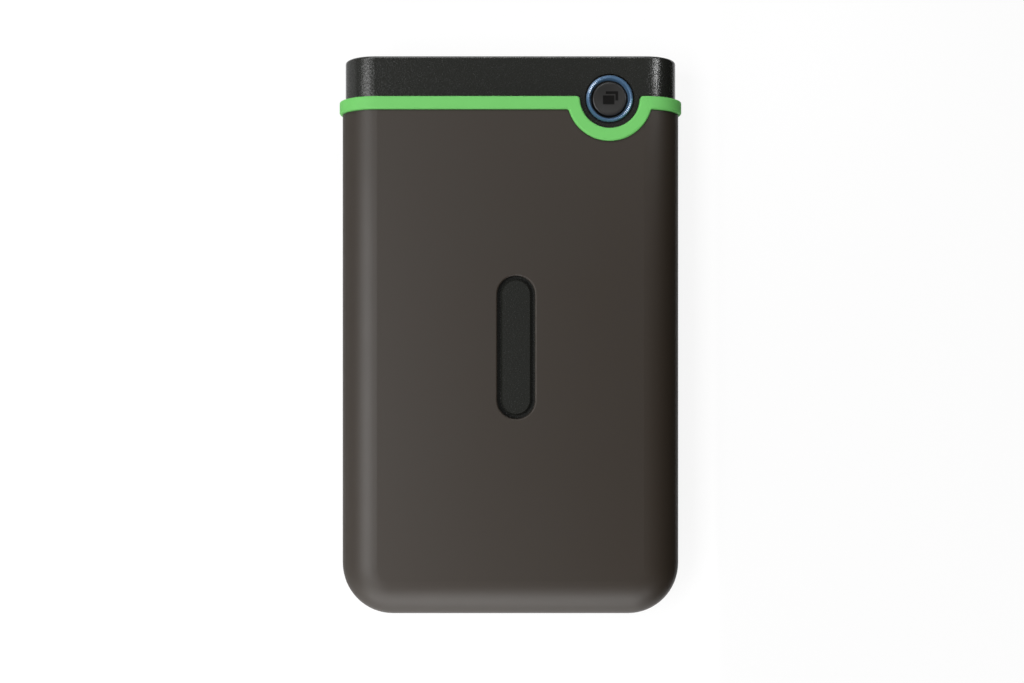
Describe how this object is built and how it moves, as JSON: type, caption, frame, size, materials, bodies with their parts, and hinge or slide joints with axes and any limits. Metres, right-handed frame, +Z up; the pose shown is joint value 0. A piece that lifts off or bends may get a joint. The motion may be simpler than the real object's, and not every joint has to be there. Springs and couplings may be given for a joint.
{
  "type": "portable external hard drive",
  "caption": "Slim portable hard drive in a rounded rubber sleeve, with an elastic band that arches round a lit push button and a data socket in its end.",
  "frame": {"origin": "bottom centre of the box round the drive, lying on its back", "axes": "+X to the right across the front, +Y along the drive to the socket end, +Z up out of the front face"},
  "size_m": [0.0806, 0.13, 0.0161],
  "materials": {
    "sleeve_rubber": "matt moulded silicone rubber, warm dark grey",
    "band_rubber": "smooth satin elastic rubber, leaf green",
    "case_plastic": "fine spark-eroded moulded plastic, black",
    "ring_plastic": "metallised clear plastic ring, steel blue, fine radial flutes",
    "button_plastic": "satin moulded plastic, dark brown-grey",
    "screw_steel": "zinc-plated steel screws",
    "board_laminate": "green solder mask on glass laminate",
    "chip_epoxy": "black moulded epoxy",
    "connector_plastic": "black heat-proof connector plastic",
    "tinned_steel": "tinned sheet steel",
    "gold_contact": "gold-plated spring contacts",
    "lamp_resin": "clear lamp resin",
    "damper_rubber": "soft black damping rubber",
    "foam": "closed-cell foam",
    "cast_aluminium": "as-cast aluminium, machined seats",
    "cover_steel": "pressed stainless steel sheet",
    "gasket_rubber": "moulded gasket",
    "bronze": "bearing bronze",
    "lamination_steel": "stacked motor laminations and plated yokes",
    "copper_wire": "enamelled copper wire",
    "turned_aluminium": "turned and machined aluminium",
    "magnet_nickel": "nickel-plated magnet",
    "platter_glass": "sputtered magnetic film, mirror bright",
    "ramp_plastic": "low-friction natural acetal",
    "ceramic": "sintered ceramic"
  },
  "bodies": {
    "case": {"outer_sleeve": "sleeve_rubber", "edge_band": "band_rubber", "front_case": "case_plastic", "back_case": "case_plastic", "light_ring": "ring_plastic", "case_screws": "screw_steel", "bridge_board": "board_laminate", "usb_shell": "tinned_steel", "usb_tongue": "connector_plastic", "usb_contacts": "gold_contact", "tact_switch": "connector_plastic", "status_leds": "lamp_resin", "sata_receptacle": "connector_plastic", "bridge_chip": "chip_epoxy", "flash_chip": "chip_epoxy", "clock_crystal": "tinned_steel", "power_inductor": "chip_epoxy", "board_capacitors": "ceramic", "board_screws": "screw_steel", "front_pads": "damper_rubber", "back_pads": "damper_rubber", "side_pads": "damper_rubber", "end_bumper": "foam", "drive_base": "cast_aluminium", "drive_cover": "cover_steel", "cover_gasket": "gasket_rubber", "cover_screws": "screw_steel", "spindle_bearing": "bronze", "spindle_stator": "lamination_steel", "stator_coils": "copper_wire", "pivot_shaft": "tinned_steel", "lower_yoke": "lamination_steel", "coil_magnet": "magnet_nickel", "upper_yoke": "lamination_steel", "load_ramp": "ramp_plastic", "air_filter": "foam", "drive_board": "board_laminate", "drive_sata_plug": "connector_plastic", "drive_controller": "chip_epoxy", "drive_memory": "chip_epoxy", "motor_driver": "chip_epoxy", "drive_board_screws": "screw_steel"},
    "button": {"button_cap": "button_plastic", "switch_plunger": "ramp_plastic"},
    "rotor": {"spindle_hub": "turned_aluminium", "rotor_magnet": "magnet_nickel", "platter": "platter_glass", "disk_clamp": "turned_aluminium", "clamp_screw": "screw_steel"},
    "head_arm": {"actuator_arm": "turned_aluminium", "pivot_bearing": "tinned_steel", "arm_suspensions": "cover_steel", "head_sliders": "ceramic", "voice_coil": "copper_wire"}
  },
  "joints": [
    {"name": "button_press", "type": "slide", "parent": "case", "child": "button", "axis": [0, 0, -1], "range_m": [0, 0.0004], "stiffness_N_per_m": 1500, "springref_m": -0.0003},
    {"name": "platter_spin", "type": "hinge", "parent": "case", "child": "rotor", "pos_m": [0, -0.02142, 0.00885], "axis": [0, 0, 1], "continuous": true},
    {"name": "arm_swing", "type": "hinge", "parent": "case", "child": "head_arm", "pos_m": [0.012, 0.01607, 0.00885], "axis": [0, 0, 1], "range_deg": [0, 34]}
  ]
}
